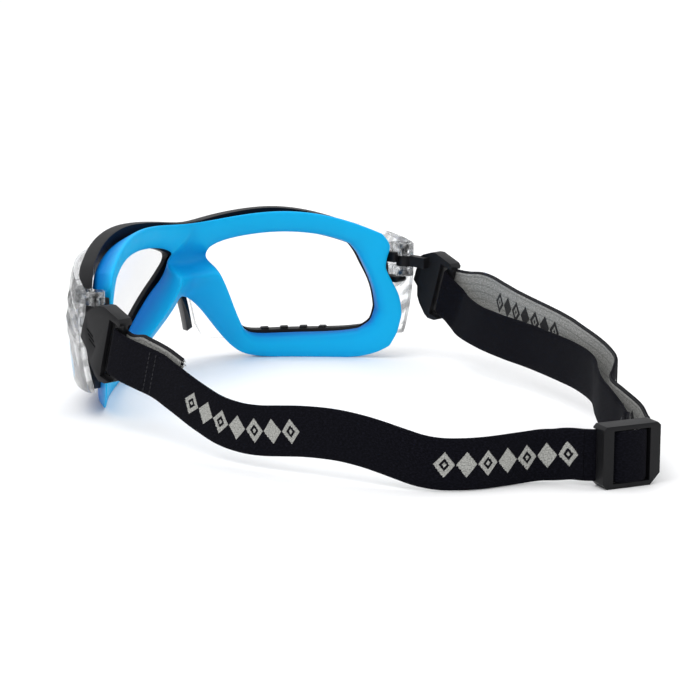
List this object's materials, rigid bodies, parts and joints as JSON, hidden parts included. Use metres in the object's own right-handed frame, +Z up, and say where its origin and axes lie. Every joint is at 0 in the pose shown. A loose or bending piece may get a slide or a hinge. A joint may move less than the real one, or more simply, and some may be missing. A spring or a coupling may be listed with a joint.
{
  "type": "safety goggles",
  "caption": "Wrap-round clear safety goggles with a black inner frame, soft blue face seal, hinged strap clips and an adjustable elastic head strap with a three-bar buckle.",
  "frame": {"origin": "under the middle of the whole object's bounding box, strap included, at the table", "axes": "+X to the wearer's left, +Y from the lens to the back of the strap, +Z up as it lies on the table"},
  "size_m": [0.1644, 0.2398, 0.06],
  "materials": {
    "clear_polycarbonate": "clear, polished",
    "black_nylon": "fine moulded satin",
    "gloss_black": "gloss",
    "blue_elastomer": "soft matte",
    "dark_screw_steel": "dark, satin",
    "black_elastic": "woven elastic webbing, black outside and grey inside"
  },
  "bodies": {
    "front": {"lens": "clear_polycarbonate", "inner_frame": "black_nylon", "nose_piece": "gloss_black", "face_seal": "blue_elastomer", "left_hinge_screw": "dark_screw_steel", "right_hinge_screw": "dark_screw_steel", "left_hinge_nut": "dark_screw_steel", "right_hinge_nut": "dark_screw_steel", "strap_near_run": "black_elastic", "strap_outer_run": "black_elastic", "strap_inner_run": "black_elastic"},
    "left_clip": {"left_clip": "black_nylon", "left_strap_fold": "black_elastic"},
    "right_clip": {"right_clip": "black_nylon", "right_strap_fold": "black_elastic"},
    "buckle": {"buckle": "black_nylon", "strap_through_buckle": "black_elastic", "strap_end_loop": "black_elastic"}
  },
  "joints": [
    {"name": "left_clip_hinge", "type": "hinge", "parent": "front", "child": "left_clip", "pos_m": [0.075, -0.06351, 0], "axis": [0, 0, 1], "range_deg": [0, 70], "deforming": ["strap_near_run"]},
    {"name": "right_clip_hinge", "type": "hinge", "parent": "front", "child": "right_clip", "pos_m": [-0.075, -0.06351, 0], "axis": [0, 0, -1], "range_deg": [0, 70], "deforming": ["strap_outer_run", "strap_inner_run"]},
    {"name": "buckle_slide", "type": "slide", "parent": "front", "child": "buckle", "axis": [0.9397, -0.342, 0], "range_m": [0, 0.025], "deforming": ["strap_near_run", "strap_outer_run", "strap_inner_run"]}
  ]
}
